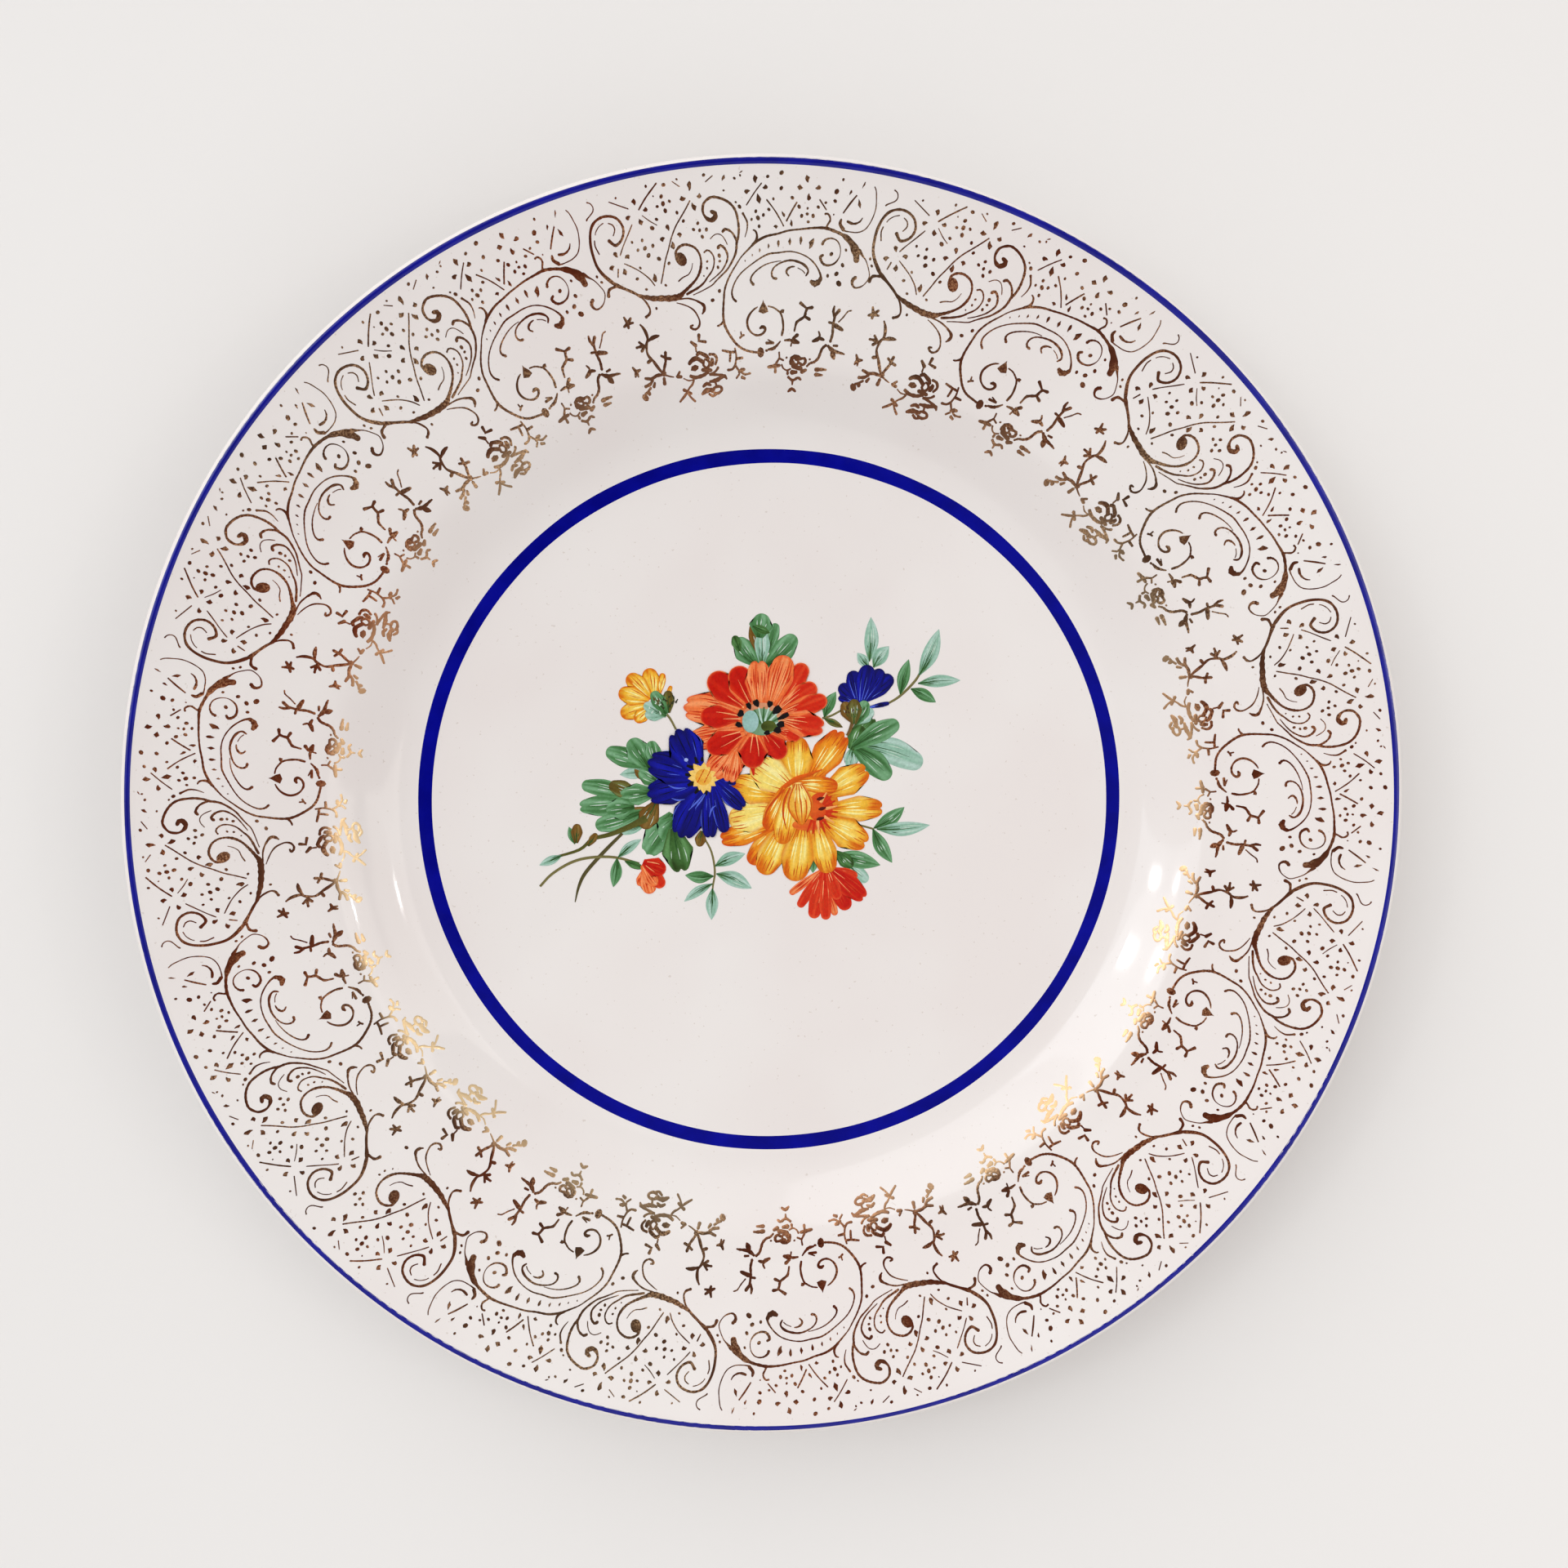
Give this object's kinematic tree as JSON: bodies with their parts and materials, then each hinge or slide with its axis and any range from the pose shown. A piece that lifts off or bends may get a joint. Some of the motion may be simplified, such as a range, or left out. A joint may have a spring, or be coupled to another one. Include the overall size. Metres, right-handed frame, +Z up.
{
  "type": "china dinner plate",
  "caption": "Round white china dinner plate on a foot ring, with a broad shallow rim, cobalt rings, a gilt scroll border and an enamelled flower bouquet in the well.",
  "frame": {"origin": "centre of the foot ring's underside, on the surface that the plate stands on", "axes": "+Z up out of the well along the plate's own axis, +Y towards the top of the bouquet, +X to its right"},
  "size_m": [0.254, 0.254, 0.0244],
  "materials": {
    "porcelain": "warm white, clear glossy glaze",
    "cobalt": "cobalt blue under a glossy glaze",
    "gilt": "fired gold on the glaze, polished",
    "red_enamel": "orange-red overglaze enamel, glossy",
    "blue_enamel": "deep blue overglaze enamel, glossy",
    "yellow_enamel": "yellow to orange overglaze enamel, glossy",
    "green_enamel": "leaf green overglaze enamel, glossy",
    "pale_green_enamel": "thin sea-green overglaze enamel, glossy",
    "brown_enamel": "olive brown overglaze enamel, glossy"
  },
  "bodies": {
    "root": {"blue_bud": "blue_enamel", "blue_bud_calyx": "brown_enamel", "blue_flower": "blue_enamel", "blue_flower_centre": "yellow_enamel", "bud_side_leaf": "pale_green_enamel", "bud_top_leaves": "pale_green_enamel", "far_right_sprig": "pale_green_enamel", "gilt_crest_01": "gilt", "gilt_crest_02": "gilt", "gilt_crest_03": "gilt", "gilt_crest_04": "gilt", "gilt_crest_05": "gilt", "gilt_crest_06": "gilt", "gilt_crest_07": "gilt", "gilt_crest_09": "gilt", "gilt_crest_10": "gilt", "gilt_crest_11": "gilt", "gilt_crest_12": "gilt", "gilt_crest_13": "gilt", "gilt_scroll_01": "gilt", "gilt_scroll_02": "gilt", "gilt_scroll_03": "gilt", "gilt_scroll_04": "gilt", "gilt_scroll_05": "gilt", "gilt_scroll_06": "gilt", "gilt_scroll_07": "gilt", "gilt_scroll_08": "gilt", "gilt_scroll_09": "gilt", "gilt_scroll_10": "gilt", "gilt_scroll_11": "gilt", "gilt_scroll_12": "gilt", "gilt_scroll_13": "gilt", "left_leaves": "green_enamel", "left_red_bud": "red_enamel", "left_stems": "brown_enamel", "lower_left_leaves": "green_enamel", "lower_red_bud": "red_enamel", "lower_right_leaves": "green_enamel", "lower_sprig": "pale_green_enamel", "plate_body": "porcelain", "red_flower": "red_enamel", "red_flower_centre": "pale_green_enamel", "right_leaves": "green_enamel", "right_lower_sprig": "pale_green_enamel", "rim_line": "cobalt", "top_leaves": "green_enamel", "upper_left_leaves": "green_enamel", "well_ring": "cobalt", "yellow_bud": "yellow_enamel", "yellow_bud_calyx": "green_enamel", "yellow_flower": "yellow_enamel", "yellow_flower_centre": "red_enamel"}
  },
  "joints": []
}
